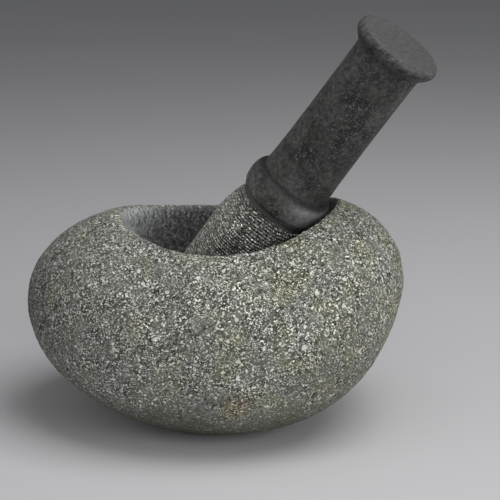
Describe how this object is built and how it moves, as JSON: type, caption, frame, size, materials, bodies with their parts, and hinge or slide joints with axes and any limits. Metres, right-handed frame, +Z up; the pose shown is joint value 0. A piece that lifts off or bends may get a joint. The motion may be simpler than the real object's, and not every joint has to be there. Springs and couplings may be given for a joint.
{
  "type": "stone mortar and pestle",
  "caption": "Natural rounded stone mortar with a smooth round bowl, and a turned stone pestle with a collar, capped grip and ribbed head resting in it.",
  "frame": {"origin": "middle of the mortar's flat underside, on the ground", "axes": "+Z up out of the bowl, +X to the side the pestle leans to, -Y to the front"},
  "size_m": [0.1897, 0.16, 0.1952],
  "materials": {
    "granite_mortar": "rough speckled grey-green granite outside, honed darker bowl",
    "granite_pestle": "honed dark granite grip and collar, rough ribbed head"
  },
  "bodies": {
    "mortar": {"mortar": "granite_mortar"},
    "pestle": {"pestle": "granite_pestle"}
  },
  "joints": [
    {"name": "pestle_lift", "type": "slide", "parent": "mortar", "child": "pestle", "axis": [0, 0, 1], "range_m": [0, 0.12]}
  ]
}
